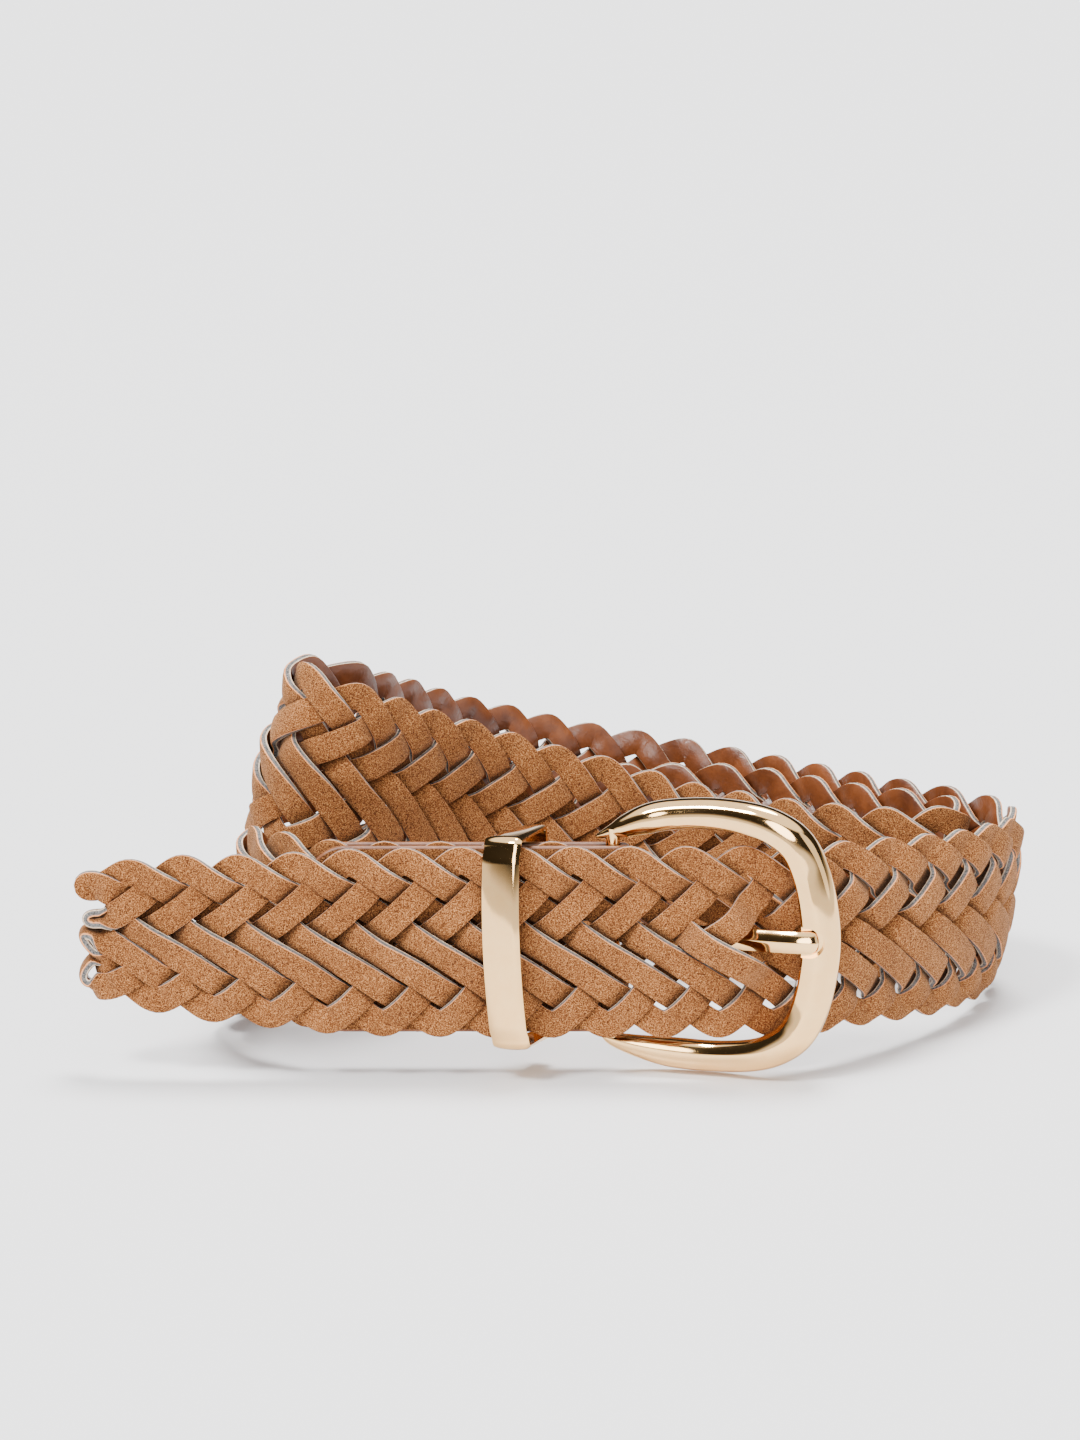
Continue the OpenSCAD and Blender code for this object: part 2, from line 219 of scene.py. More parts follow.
def between(x, low, high, fade=12):
    """One from low to high, fading to nothing on either side."""
    return ease((x - low) / fade + 1) * ease((high - x) / fade + 1)


def smooth(values, times):
    for _ in range(times):
        inner = (values[:-2] + 2 * values[1:-1] + values[2:]) / 4
        values = np.concatenate([values[:1], inner, values[-1:]])
    return values


def strand_stations(k, start, steps=8):
    """Stations s, v, n, roll of strand k from where its fold ends to its own end in the tab."""
    first, last = crossing_at(k, start), crossing_at(k, END_S)
    c = np.linspace(first, last, int((last - first) * steps))
    s = crossing_s(k, c)
    loose = settle(s) * (1 - between(s, KEEPER_S - 16, PRONG_S + 14))
    bend = between(s, RIGHT_BEND[0], RIGHT_BEND[1])
    roll = smooth(strip_roll(s, c) * (1 - 0.8 * bend) + 3.5 * wander(k, s, 9) * loose, 4)
    raised = 0.45 * STRIP_W / 2 * np.abs(np.sin(np.radians(roll)))
    level = weave(c)
    v = height_in_band(s, c) + 0.3 * wander(k + 20, s, 13) * loose
    n = LIFT * level * (1 + 1.2 * bend * (level > 0)) + raised * np.sign(level)
    n = smooth(n, 2) + parting(k, c) + 0.08 * wander(k + 40, s, 11) * loose
    return np.stack([s, v, n, roll], 1)


# ---- The four folds at the tip, where a strip turns back on edge ----
# Lower strand, upper strand, where the fold starts along the strap, how far it reaches, and its roll
FOLDS = [(7, 0, 15.3, 7.0, 12.0), (6, 1, 17.0, 8.5, 80.0), (4, 5, 16.0, 8.5, 80.0), (3, 2, 14.5, 5.5, 80.0)]
FOLD_SINK = 1.3


def fold_stations(lead, mate, reach, roll, count=26):
    a, b = mate[0, :2], lead[0, :2]
    out_a = a + reach * unit(mate[0, :2] - mate[3, :2])
    out_b = b + reach * unit(lead[0, :2] - lead[3, :2])
    t = np.linspace(0, 1, count + 2)[1:-1, None]
    way = (1 - t) ** 3 * a + 3 * t * (1 - t) ** 2 * out_a + 3 * t * t * (1 - t) * out_b + t ** 3 * b
    edge = ease(np.sin(math.pi * t) * 1.6)
    n = mate[0, 2] * (1 - t) + lead[0, 2] * t - FOLD_SINK * edge
    return np.concatenate([way, n, roll * edge], 1)


def folded_strip(lead_k, mate_k, start, reach, roll):
    """Stations of one long strip: from the tab along one strand to the tip, round its fold, and back."""
    lead, mate = strand_stations(lead_k, start), strand_stations(mate_k, start)
    back = mate[::-1] * np.array([1, 1, 1, -1])
    return np.concatenate([back, fold_stations(lead, mate, reach, roll), lead])


# ---- Mesh helpers ----
def new_object(name, verts, faces, materials, face_slots=None, crease=35):
    mesh = bpy.data.meshes.new(name)
    mesh.from_pydata([tuple(v) for v in np.asarray(verts, float)], [], [tuple(f) for f in faces])
    for material in materials:
        mesh.materials.append(material)
    if face_slots is not None:
        mesh.polygons.foreach_set("material_index", np.asarray(face_slots, dtype=np.int32))
    mesh.polygons.foreach_set("use_smooth", np.ones(len(mesh.polygons), dtype=bool))
    mesh.validate()
    mesh.update()
    mesh.set_sharp_from_angle(angle=math.radians(crease))
    obj = bpy.data.objects.new(name, mesh)
    bpy.context.scene.collection.objects.link(obj)
    return obj


def tube_faces(count, sides, closed=False):
    """Quads between rings of points, with a cap at each end unless the tube is closed."""
    faces = []
    for i in range(count if closed else count - 1):
        j = (i + 1) % count
        for k in range(sides):
            l = (k + 1) % sides
            faces.append((i * sides + k, i * sides + l, j * sides + l, j * sides + k))
    if not closed:
        faces.append(tuple(range(sides - 1, -1, -1)))
        faces.append(tuple((count - 1) * sides + k for k in range(sides)))
    return faces


def flip(faces):
    return [tuple(reversed(f)) for f in faces]


# ---- Materials ----
def shader(name, color, roughness, metallic=0.0):
    material = bpy.data.materials.new(name)
    material.use_nodes = True
    bsdf = material.node_tree.nodes["Principled BSDF"]
    bsdf.inputs["Base Color"].default_value = (*color, 1)
    bsdf.inputs["Roughness"].default_value = roughness
    bsdf.inputs["Metallic"].default_value = metallic
    return material, material.node_tree, bsdf


def node(tree, kind, **values):
    made = tree.nodes.new(kind)
    for key, value in values.items():
        if key in made.inputs:
            made.inputs[key].default_value = value
        else:
            setattr(made, key, value)
    return made


def noise_of(tree, scale, detail=3.0, rough=0.6, distortion=0.0):
    coords = node(tree, "ShaderNodeTexCoord")
    tex = node(tree, "ShaderNodeTexNoise", Scale=scale, Detail=detail, Roughness=rough, Distortion=distortion)
    tree.links.new(coords.outputs["Object"], tex.inputs["Vector"])
    return tex


def ramp(tree, source, stops):
    made = node(tree, "ShaderNodeValToRGB")
    elements = made.color_ramp.elements
    while len(elements) < len(stops):
        elements.new(0.5)
    for element, (position, color) in zip(elements, stops):
        element.position = position
        element.color = (*color, 1)
    tree.links.new(source, made.inputs["Fac"])
    return made


def mix(tree, kind, a, b, factor):
    made = node(tree, "ShaderNodeMix", data_type="RGBA", blend_type=kind)
    made.inputs[0].default_value = factor
    tree.links.new(a, made.inputs[6])
    tree.links.new(b, made.inputs[7])
    return made.outputs[2]


def bump(tree, bsdf, height, strength, distance, before=None):
    made = node(tree, "ShaderNodeBump", Strength=strength, Distance=distance)
    tree.links.new(height, made.inputs["Height"])
    if before is not None:
        tree.links.new(before.outputs["Normal"], made.inputs["Normal"])
    tree.links.new(made.outputs["Normal"], bsdf.inputs["Normal"])
    return made


def painted_crevice_shade(tree, color, reach=0.0035):
    """The colour with painted shade, darker where other leather stands close by."""
    shade = node(tree, "ShaderNodeAmbientOcclusion", samples=6)
    shade.inputs["Distance"].default_value = reach
    # Painted shade: the colour falls to this dark brown where the occlusion is full
    tone = ramp(tree, shade.outputs["AO"], [(0.25, (0.22, 0.17, 0.14)), (0.85, (1, 1, 1))])
    return mix(tree, "MULTIPLY", color, tone.outputs["Color"], 1.0)


def suede_material():
    """Napped tan leather: a fine two-tone grain, slow changes of tone, painted shade in the crevices, and a
    soft sheen.
    """
    material, tree, bsdf = shader("suede", (0.42, 0.2, 0.08), 0.92)
    grain = noise_of(tree, 5200, 2, 0.6)
    tone = ramp(tree, grain.outputs["Fac"], [(0.36, (0.05, 0.012, 0.002)), (0.5, (0.24, 0.082, 0.022)),
                                              (0.64, (0.62, 0.28, 0.095))])
    slow = noise_of(tree, 110, 3, 0.6)
    wash = ramp(tree, slow.outputs["Fac"], [(0.3, (0.74, 0.70, 0.66)), (0.7, (1, 1, 1))])
    washed = mix(tree, "MULTIPLY", tone.outputs["Color"], wash.outputs["Color"], 1.0)
    # Painted shade in the crevices darkens the suede's colour
    tree.links.new(painted_crevice_shade(tree, washed), bsdf.inputs["Base Color"])
    bsdf.inputs["Sheen Weight"].default_value = 0.15
    bsdf.inputs["Sheen Roughness"].default_value = 0.5
    bsdf.inputs["Sheen Tint"].default_value = (1.0, 0.75, 0.5, 1)
    bsdf.inputs["Specular IOR Level"].default_value = 0.15
    bump(tree, bsdf, grain.outputs["Fac"], 0.9, 0.0002)
    return material


def edge_material(name, dark, light, scale):
    material, tree, bsdf = shader(name, light, 0.85)
    fibre = noise_of(tree, scale, 4, 0.7)
    tone = ramp(tree, fibre.outputs["Fac"], [(0.35, dark), (0.65, light)])
    tree.links.new(tone.outputs["Color"], bsdf.inputs["Base Color"])
    bsdf.inputs["Specular IOR Level"].default_value = 0.25
    bump(tree, bsdf, fibre.outputs["Fac"], 0.5, 0.00012)
    return material


def glazed_material(name, dark, light, roughness):
    """Smooth leather with pores and soft creases, and painted shade in the crevices."""
    material, tree, bsdf = shader(name, light, roughness)
    slow = noise_of(tree, 140, 4, 0.6, 0.4)
    tone = ramp(tree, slow.outputs["Fac"], [(0.3, dark), (0.68, light)])
    # Painted shade in the crevices darkens the glazed leather's colour
    tree.links.new(painted_crevice_shade(tree, tone.outputs["Color"]), bsdf.inputs["Base Color"])
    bsdf.inputs["Specular IOR Level"].default_value = 0.5
    pores = noise_of(tree, 1900, 2, 0.5)
    creases = noise_of(tree, 420, 3, 0.55, 1.5)
    first = bump(tree, bsdf, pores.outputs["Fac"], 0.12, 0.0001)
    bump(tree, bsdf, creases.outputs["Fac"], 0.35, 0.0004, first)
    return material


def metal_material():
    """Polished pale gold plating, with faint scuffs."""
    material, tree, bsdf = shader("pale_gold", (0.94, 0.57, 0.24), 0.08, 1.0)
    scuff = noise_of(tree, 260, 5, 0.7)
    rough = node(tree, "ShaderNodeMapRange")
    rough.inputs["To Min"].default_value = 0.05
    rough.inputs["To Max"].default_value = 0.12
    tree.links.new(scuff.outputs["Fac"], rough.inputs["Value"])
    tree.links.new(rough.outputs["Result"], bsdf.inputs["Roughness"])
    tone = ramp(tree, scuff.outputs["Fac"], [(0.3, (0.92, 0.55, 0.22)), (0.7, (0.96, 0.61, 0.27))])
    tree.links.new(tone.outputs["Color"], bsdf.inputs["Base Color"])
    return material


def thread_material():
    material, tree, bsdf = shader("thread", (0.5, 0.3, 0.15), 0.75)
    twist = noise_of(tree, 1500, 3, 0.6)
    tone = ramp(tree, twist.outputs["Fac"], [(0.3, (0.30, 0.15, 0.07)), (0.7, (0.52, 0.30, 0.15))])
    tree.links.new(tone.outputs["Color"], bsdf.inputs["Base Color"])
    bump(tree, bsdf, twist.outputs["Fac"], 0.4, 0.0001)
    return material


SUEDE = suede_material()
ORANGE = edge_material("edge_orange", (0.62, 0.20, 0.06), (0.90, 0.44, 0.20), 2200)
CORE = edge_material("edge_core", (0.035, 0.033, 0.031), (0.24, 0.23, 0.22), 2800)
CREAM = edge_material("edge_cream", (0.45, 0.30, 0.19), (0.80, 0.66, 0.50), 2400)
GLAZED = glazed_material("glazed_inside", (0.08, 0.02, 0.005), (0.21, 0.062, 0.018), 0.33)
HIDE = glazed_material("tab_hide", (0.10, 0.028, 0.008), (0.26, 0.09, 0.03), 0.42)
GOLD = metal_material()
THREAD = thread_material()


def finish_piece(piece, body, slot, *nodes):
    """The piece moves with this body and stands for these CAD nodes. The slot is not used."""
    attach(piece, body)
    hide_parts(*nodes)


# ---- Strips: a ring of points round the strip, and the material of each side of the ring ----
SHOWN_W = STRIP_W - 0.5
HALF_W = SHOWN_W / 2
HALF_T = STRIP_T / 2 + 0.1
RING = [
    (HALF_W - 0.16, HALF_T - 0.03, 0), (HALF_W * 0.6, HALF_T + 0.05, 0), (0, HALF_T + 0.1, 0),
    (-HALF_W * 0.6, HALF_T + 0.05, 0), (-HALF_W + 0.16, HALF_T - 0.03, 0),
    (-HALF_W, HALF_T - 0.12, 1), (-HALF_W - 0.03, HALF_T - 0.36, 2), (-HALF_W - 0.03, -HALF_T + 0.36, 3),
    (-HALF_W, -HALF_T + 0.12, 4), (-HALF_W + 0.14, -HALF_T, 4), (0, -HALF_T - 0.02, 4),
    (HALF_W - 0.14, -HALF_T, 4), (HALF_W, -HALF_T + 0.12, 3), (HALF_W + 0.03, -HALF_T + 0.36, 2),
    (HALF_W + 0.03, HALF_T - 0.36, 1), (HALF_W, HALF_T - 0.12, 0),
]
RING_XY = np.array([(x, y) for x, y, m in RING])
RING_SLOTS = [m for x, y, m in RING]
STRIP_MATERIALS = [SUEDE, ORANGE, CORE, CREAM, GLAZED]


def ribbon(name, stations):
    """A strip of leather swept through stations s, v, n, roll."""
    heading = unit(np.gradient(stations[:, :2], axis=0))
    side = np.stack([-heading[:, 1], heading[:, 0]], 1)
    angle = np.radians(stations[:, 3])
    across = RING_XY[None, :, 0] * np.cos(angle)[:, None] - RING_XY[None, :, 1] * np.sin(angle)[:, None]
    out = RING_XY[None, :, 0] * np.sin(angle)[:, None] + RING_XY[None, :, 1] * np.cos(angle)[:, None]
    s = stations[:, None, 0] + across * side[:, None, 0]
    v = stations[:, None, 1] + across * side[:, None, 1]
    n = stations[:, None, 2] + out
    points = place(s, v, n).reshape(-1, 3) * MM
    faces = tube_faces(len(stations), len(RING))
    slots = RING_SLOTS * (len(stations) - 1) + [2, 2]
    return new_object(name, points, faces, STRIP_MATERIALS, slots, 50)


for number, (lead, mate, start, reach, roll) in enumerate(FOLDS, 1):
    strip = ribbon(f"folded_strip_{number}", folded_strip(lead, mate, start, reach, roll))
    finish_piece(strip, "strap", "suede", f"strand_{lead + 1}", f"strand_{mate + 1}")


# ---- The buckle's own frame: its origin on the heel bar, leaning with the strap ----
def at_bar(points, rise=0.0):
    p = np.asarray(points, float) + np.array([0, STACK, rise])
    a = math.radians(LEAN)
    y = p[:, 1] * math.cos(a) - p[:, 2] * math.sin(a)
    z = p[:, 1] * math.sin(a) + p[:, 2] * math.cos(a)
    moved = np.stack([p[:, 0] + BAR_X, y, z + FRONT_Z], 1) - BOX_MIDDLE
    return moved * MM


# ---- Metal pieces: a section swept along x, y, z, half width, half thickness ----
# The frame's section, across (+ is outwards) and deep (- is the front): a dome and an inner bevel
FRAME_SECTION = np.array([
    (1.0, 0.3), (0.99, 0.05), (0.95, -0.2), (0.87, -0.42), (0.75, -0.62), (0.58, -0.79), (0.38, -0.91),
    (0.16, -0.97), (-0.08, -1.0), (-0.28, -1.0), (-0.34, -0.99), (-0.55, -0.91), (-0.8, -0.8), (-0.92, -0.7),
    (-1.0, -0.45), (-1.0, 0.3), (-0.95, 0.75), (-0.8, 0.95), (-0.4, 1.0), (0.4, 1.0), (0.8, 0.95), (0.95, 0.7),
])
# The prong's section: two facets that meet at a ridge
PRONG_SECTION = np.array([
    (0, -1), (0.12, -0.98), (0.82, -0.42), (0.97, -0.22), (1, 0.1), (0.95, 0.6), (0.7, 0.9), (0, 1),
    (-0.7, 0.9), (-0.95, 0.6), (-1, 0.1), (-0.97, -0.22), (-0.82, -0.42), (-0.12, -0.98),
])


def swept(way, section):
    """Points of a section swept along a way; the section's front faces -Y."""
    xyz = way[:, :3]
    ahead = unit(np.gradient(xyz, axis=0))
    across = unit(np.cross(ahead, np.array([0, -1.0, 0])))
    deep = np.cross(ahead, across)
    wide = way[:, 3, None, None] * section[None, :, :1] * across[:, None]
    thick = way[:, 4, None, None] * section[None, :, 1:] * deep[:, None]
    return (xyz[:, None] + wide + thick).reshape(-1, 3)


def evenly(way, step):
    at = lengths(way)
    marks = np.linspace(0, at[-1], int(at[-1] / step))
    return np.stack([np.interp(marks, at, way[:, i]) for i in range(way.shape[1])], 1)


UPPER_POINT = [
    [-3.2, 0, 17.4, 0.12, 0.15], [-2.6, 0, 17.6, 0.45, 0.5], [0, 0, 18.5, 1.25, 1.3],
    [2, -0.2, 19.3, 1.9, 1.8], [6, -0.6, 20.7, 2.6, 2.3],
]
LOWER_POINT = [
    [-2.1, 0, 18.6, 0.12, 0.15], [-1.6, 0, 18.8, 0.45, 0.5], [0, 0, 19.4, 1.2, 1.3], [4.5, -0.4, 20.6, 2, 2],
]
HALF = [
    [10.5, -1.1, 21.6, 2.7, 2.4], [18, -2.7, 22, 2.75, 2.5], [25, -5.5, 21.3, 2.9, 2.5],
    [29.5, -6.95, 19.6, 3.1, 2.5], [32.8, -7.55, 16.8, 3.3, 2.5], [35, -7.7, 12.2, 3.45, 2.5],
    [36.3, -8.1, 6.6, 3.5, 2.5],
]
FRONT_BAR = [36.9, -8.2, 0, 3.55, 2.5]
NOTCH_W = 5.5
NOTCH_DEPTH = 1.8
NOTCH_LEN = 6
NOTCH_X = -2.3


def frame_way():
    lower = [[x, y, -z, w, t] for x, y, z, w, t in LOWER_POINT + HALF]
    upper = (UPPER_POINT + HALF)[::-1]
    return catmull(np.array(lower + [FRONT_BAR] + upper, float), 10)


def notch_cutter():
    """The groove the prong's tip drops into: half round at its outer end, open on the inner side."""
    turn = np.linspace(-math.pi / 2, math.pi / 2, 33)
    outline = [(math.cos(a) * NOTCH_W / 2, math.sin(a) * NOTCH_W / 2) for a in turn]
    outline = [(-NOTCH_LEN, -NOTCH_W / 2)] + outline + [(-NOTCH_LEN, NOTCH_W / 2)]
    floor_y = FRONT_BAR[1] - FRONT_BAR[4] + NOTCH_DEPTH
    x = FRONT_BAR[0] + NOTCH_X
    near = [(x + px, floor_y - 5, pz) for px, pz in outline]
    far = [(x + px, floor_y, pz) for px, pz in outline]
    faces = flip(tube_faces(2, len(outline)))
    return new_object("notch_cutter", at_bar(near + far, FRAME_RISE), faces, [GOLD])


def buckle_frame():
    way = evenly(frame_way(), 0.5)
    points = at_bar(swept(way, FRAME_SECTION), FRAME_RISE)
    piece = new_object("frame_casting", points, flip(tube_faces(len(way), len(FRAME_SECTION))), [GOLD])
    cutter = notch_cutter()
    cut = piece.modifiers.new("notch", "BOOLEAN")
    cut.operation = "DIFFERENCE"
    cut.solver = "EXACT"
    cut.object = cutter
    bpy.context.view_layer.update()
    notched = bpy.data.meshes.new_from_object(piece.evaluated_get(bpy.context.evaluated_depsgraph_get()))
    piece.modifiers.clear()
    piece.data = notched
    notched.polygons.foreach_set("use_smooth", np.ones(len(notched.polygons), dtype=bool))
    notched.set_sharp_from_angle(angle=math.radians(24))
    bpy.data.objects.remove(cutter)
    return piece


finish_piece(buckle_frame(), "buckle", "pale_gold", "buckle_frame")

EYE_R = 2.25
EYE_HALF_T = 0.75
# The shank grows from the eye's thickness to its own by this far along it
SHANK_FULL = 6
SHANK = [
    [2.5, 0.1], [2.8, -1.2], [6, -1.6], [11, -2.2], [15, -3.1], [18, -4.2], [21, -5.5], [24, -6.7],
    [27, -7.9], [30, -9.1], [32.5, -9.9], [34.6, -10.2],
]
PRONG_END = 36.3


def prong():
    """An eye bent round the heel bar, running on into a ridged shank with a rounded tip."""
    turn = np.radians(np.linspace(-35, -290, 22))
    eye = [[EYE_R * math.cos(a), -EYE_R * math.sin(a), 0, PRONG_W / 2, EYE_HALF_T] for a in turn[::-1]]
    eye = [p for p in eye if not (p[0] > 0.5 and p[1] < 0)]
    thinner = PRONG_T / 2 - EYE_HALF_T
    shank = [[x, y, 0, PRONG_W / 2, PRONG_T / 2 - thinner * ease((SHANK_FULL - x) / 4)] for x, y in SHANK]
    way = evenly(catmull(np.array(eye + shank, float), 6), 0.4)
    last = way[-1]
    tip = []
    for a in np.linspace(0.15, 1.5, 10):
        reach = PRONG_END - last[0]
        tip.append([last[0] + reach * math.sin(a), last[1], 0, last[3] * math.cos(a) ** 0.6,
                    last[4] * (0.55 + 0.45 * math.cos(a))])
    way = np.concatenate([way, np.array(tip)])
    points = at_bar(swept(way, PRONG_SECTION), FRAME_RISE)
    return new_object("prong_shank", points, tube_faces(len(way), len(PRONG_SECTION)), [GOLD], None, 28)


finish_piece(prong(), "prong", "pale_gold", "prong")

# ---- Keeper: a band bent into a loop, with a bowed and domed front plate ----
KEEPER_AT = (-16.0, -1.6, 0.2)
KEEPER_T = 0.95
KEEPER_DEPTH = 16.4
KEEPER_TILT = 2.5
BOW = 2.2
CORNER = 2.0
BACK_CORNER = 1.2
# The band's section: along the strap, as a part of its width, and inwards from the outer face
KEEPER_SECTION = [(-0.5, KEEPER_T), (-0.5, 0.75), (-0.47, 0.42), (-0.36, 0.18), (-0.18, 0.05), (0, 0.0),
                  (0.18, 0.05), (0.34, 0.16), (0.41, 0.3), (0.5, 0.85), (0.5, KEEPER_T)]


def keeper_outline():
    """Points y, z of the loop's outer face, and the way across the band at each."""
    h = KEEPER_H / 2
    radius = (h * h + BOW * BOW) / (2 * BOW)
    front = -KEEPER_DEPTH / 2
    points = []
    for a in np.linspace(0, math.pi / 2, 9):
        points.append((front + CORNER * (1 - math.sin(a)) + 0.1, h - CORNER * (1 - math.cos(a))))
    for z in np.linspace(h - CORNER - 1.5, -h + CORNER + 1.5, 25):
        points.append((front - BOW + radius - math.sqrt(radius * radius - z * z), z))
    for a in np.linspace(math.pi / 2, 0, 9):
        points.append((front + CORNER * (1 - math.sin(a)) + 0.1, -h + CORNER * (1 - math.cos(a))))
    for corner_z in (-1, 1):
        for a in np.linspace(0, math.pi / 2, 7):
            b = a if corner_z < 0 else math.pi / 2 - a
            y = KEEPER_DEPTH / 2 - BACK_CORNER * (1 - math.sin(b))
            points.append((y, corner_z * (h - BACK_CORNER * (1 - math.cos(b)))))
    loop = np.array(points)
    ahead = unit(np.roll(loop, -1, axis=0) - np.roll(loop, 1, axis=0))
    return loop, np.stack([-ahead[:, 1], ahead[:, 0]], 1)


def keeper():
    loop, inward = keeper_outline()
    centre = loop.mean(axis=0)
    if ((centre - loop) * inward).sum() < 0:
        inward = -inward
    rings = []
    for (y, z), (iy, iz) in zip(loop, inward):
        front = ease((-y - 3) / 4)
        width = KEEPER_W * (0.55 + 0.45 * front)
        for along, deep in KEEPER_SECTION:
            d = deep if deep >= KEEPER_T else deep * (0.35 + 0.65 * front)
            rings.append((along * width, y + iy * d, z + iz * d))
    points = np.array(rings)
    tilt, yaw = math.radians(-KEEPER_TILT), math.radians(-KEEPER_YAW)
    x = points[:, 0] * math.cos(tilt) + points[:, 2] * math.sin(tilt)
    z = -points[:, 0] * math.sin(tilt) + points[:, 2] * math.cos(tilt)
    y = points[:, 1]
    turned = np.stack([x * math.cos(yaw) - y * math.sin(yaw), x * math.sin(yaw) + y * math.cos(yaw), z], 1)
    faces = flip(tube_faces(len(loop), len(KEEPER_SECTION), True))
    return new_object("keeper_band", at_bar(turned + np.array(KEEPER_AT)), faces, [GOLD], None, 32)


finish_piece(keeper(), "keeper", "pale_gold", "keeper")

# ---- Tab: a suede-faced leather strap folded round the heel bar, with rounded edges and a slot ----
FOLD_R = BAR_D / 2 + 0.05
TAB_CORNER = 6.0
SLOT_W = PRONG_W + 1.2
SLOT_LEN = 6.0
EDGE_ROUND = 0.45


def tab_section(low, high):
    """Ring of z, inwards depth and material for a leg that spans low to high."""
    r = EDGE_ROUND
    steps = [0, 30, 60, 90]
    ring = []
    for a in steps:
        b = math.radians(a)
        ring.append((high - r + r * math.sin(b), r - r * math.cos(b), 1))
    for a in steps[::-1]:
        b = math.radians(a)
        ring.append((high - r + r * math.sin(b), TAB_T - r + r * math.cos(b), 1))
    for a in steps:
        b = math.radians(a)
        ring.append((low + r - r * math.sin(b), TAB_T - r + r * math.cos(b), 1))
    for a in steps[::-1]:
        b = math.radians(a)
        ring.append((low + r - r * math.sin(b), r - r * math.cos(b), 1))
    ring[-1] = (ring[-1][0], ring[-1][1], 0)
    return ring


def tab_run(path, low, high):
    """Verts, faces and slots of a part of the tab. The path gives x, y, the way out, and a trim."""
    verts = []
    for x, y, ox, oy, trim in path:
        section = tab_section(low + trim, high - trim)
        for z, deep, m in section:
            verts.append((x - ox * deep, y - oy * deep, z))
    sides = len(section)
    faces = flip(tube_faces(len(path), sides))
    slots = [m for z, deep, m in section] * (len(path) - 1) + [1, 1]
    return verts, faces, slots


def tab():
    outer = FOLD_R + TAB_T
    far = -TAB_LEN
    leg = []
    for a in np.linspace(0.08, math.pi / 2, 9):
        leg.append((far + TAB_CORNER * (1 - math.cos(a)), TAB_CORNER * (1 - math.sin(a))))
    leg += [(x, 0) for x in np.linspace(far + TAB_CORNER + 2, -SLOT_LEN, 22)]
    half = TAB_W / 2
    front_leg = [(x, -outer, 0, -1, trim) for x, trim in leg]
    back_leg = [(x, outer, 0, 1, trim) for x, trim in leg[::-1]]
    bend = [(-SLOT_LEN, -outer, 0, -1, 0), (-3, -outer, 0, -1, 0)]
    for a in np.linspace(-math.pi / 2, math.pi / 2, 17):
        bend.append((outer * math.cos(a), outer * math.sin(a), math.cos(a), math.sin(a), 0))
    bend += [(-3, outer, 0, 1, 0), (-SLOT_LEN, outer, 0, 1, 0)]
    slot_top = FRAME_RISE + SLOT_W / 2
    slot_foot = FRAME_RISE - SLOT_W / 2
    runs = [tab_run(front_leg, -half, half), tab_run(back_leg, -half, half),
            tab_run(bend, slot_top, half), tab_run(bend, -half, slot_foot)]
    verts, faces, slots = [], [], []
    for run_verts, run_faces, run_slots in runs:
        shift = len(verts)
        verts += run_verts
        faces += [tuple(i + shift for i in face) for face in run_faces]
        slots += run_slots
    return new_object("tab_leather", at_bar(verts), faces, [SUEDE, HIDE], slots, 50)


finish_piece(tab(), "strap", "hide", "tab")

# ---- Finish of the CAD nodes that stay ----
for name, material in (("heel_bar", GOLD), ("stitching_upper", THREAD), ("stitching_lower", THREAD),
                       ("stitching_bar", THREAD)):
    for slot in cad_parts[name].material_slots:
        slot.material = material

# ---- Floor, light and camera ----
FLOOR_HALF = 12
floor_mesh = bpy.data.meshes.new("floor")
floor_corners = [(-FLOOR_HALF, -FLOOR_HALF, 0), (FLOOR_HALF, -FLOOR_HALF, 0),
                 (FLOOR_HALF, FLOOR_HALF, 0), (-FLOOR_HALF, FLOOR_HALF, 0)]
floor_mesh.from_pydata(floor_corners, [], [(0, 1, 2, 3)])
floor_material, floor_tree, floor_bsdf = shader("floor", (0.84, 0.84, 0.85), 0.6)
floor_mesh.materials.append(floor_material)
floor = bpy.data.objects.new("floor", floor_mesh)
bpy.context.scene.collection.objects.link(floor)

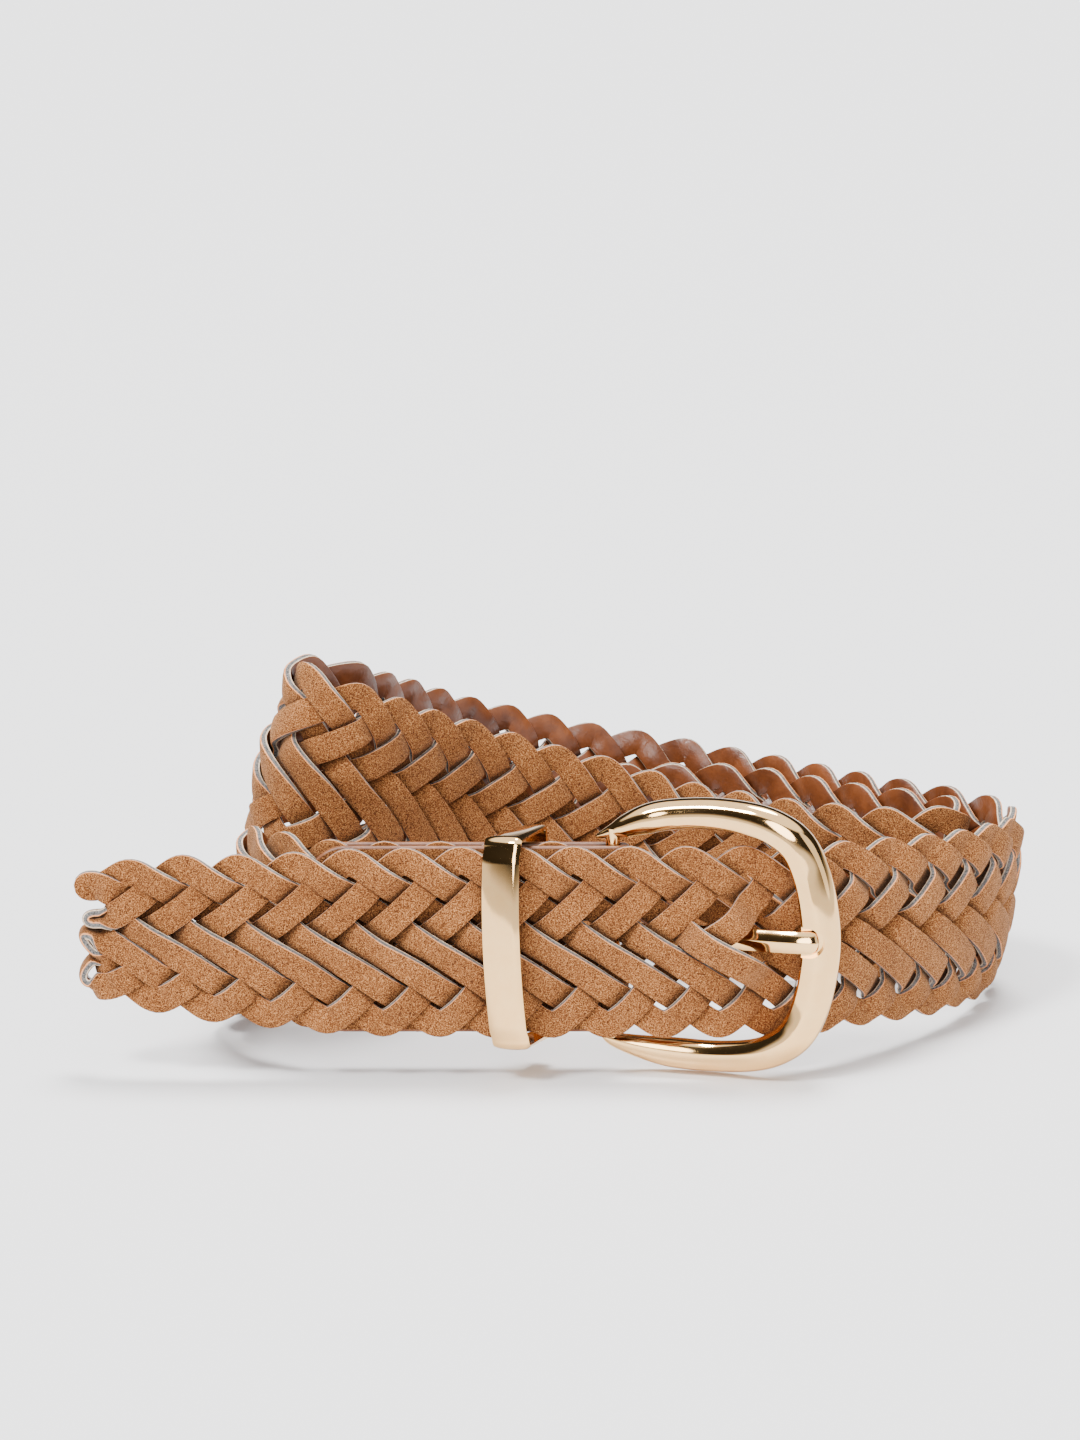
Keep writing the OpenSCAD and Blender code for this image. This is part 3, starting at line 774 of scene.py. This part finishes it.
# The room as the metal sees it: a bright ceiling, a darker band of wall, and a pale horizon
WORLD_STOPS = [(0.0, (0.9, 0.9, 0.92)), (0.55, (0.9, 0.9, 0.92)), (0.585, (0.30, 0.29, 0.28)),
               (0.62, (0.02, 0.018, 0.016)), (0.84, (0.03, 0.028, 0.025)), (0.875, (1.3, 1.3, 1.3)),
               (1.0, (1.3, 1.3, 1.3))]


def studio_world():
    world = bpy.data.worlds.new("studio")
    bpy.context.scene.world = world
    world.use_nodes = True
    tree = world.node_tree
    background = tree.nodes["Background"]
    coords = node(tree, "ShaderNodeTexCoord")
    split = node(tree, "ShaderNodeSeparateXYZ")
    height = node(tree, "ShaderNodeMapRange")
    height.inputs["From Min"].default_value = -1
    tree.links.new(coords.outputs["Generated"], split.inputs["Vector"])
    tree.links.new(split.outputs["Z"], height.inputs["Value"])
    tone = ramp(tree, height.outputs["Result"], WORLD_STOPS)
    tree.links.new(tone.outputs["Color"], background.inputs["Color"])
    background.inputs["Strength"].default_value = 1.5


studio_world()


def sun(name, toward, strength, angle, color=(1, 1, 1)):
    """A far lamp, given the direction it shines from."""
    data = bpy.data.lights.new(name, "SUN")
    data.energy = strength
    data.angle = math.radians(angle)
    data.color = color
    lamp = bpy.data.objects.new(name, data)
    lamp.rotation_euler = Vector(toward).to_track_quat("Z", "Y").to_euler()
    bpy.context.scene.collection.objects.link(lamp)


sun("key", (-0.5, -0.5, 1.0), 3.8, 14)
sun("top", (0.1, 0.3, 1.0), 4.8, 22)
sun("side", (0.9, -0.5, 0.5), 0.5, 40)
sun("front", (-0.1, -1.0, 0.5), 1.9, 30)

camera_data = bpy.data.cameras.new("camera")
camera_data.sensor_width = 36
camera_data.lens = 126
camera_data.clip_start = 0.05
camera_data.clip_end = 40
camera = bpy.data.objects.new("camera", camera_data)
camera.location = (np.array([0, -864.4, 264.6]) - BOX_MIDDLE) * MM
camera.rotation_euler = (math.radians(90 - 13), 0, 0)
bpy.context.scene.collection.objects.link(camera)
bpy.context.scene.camera = camera
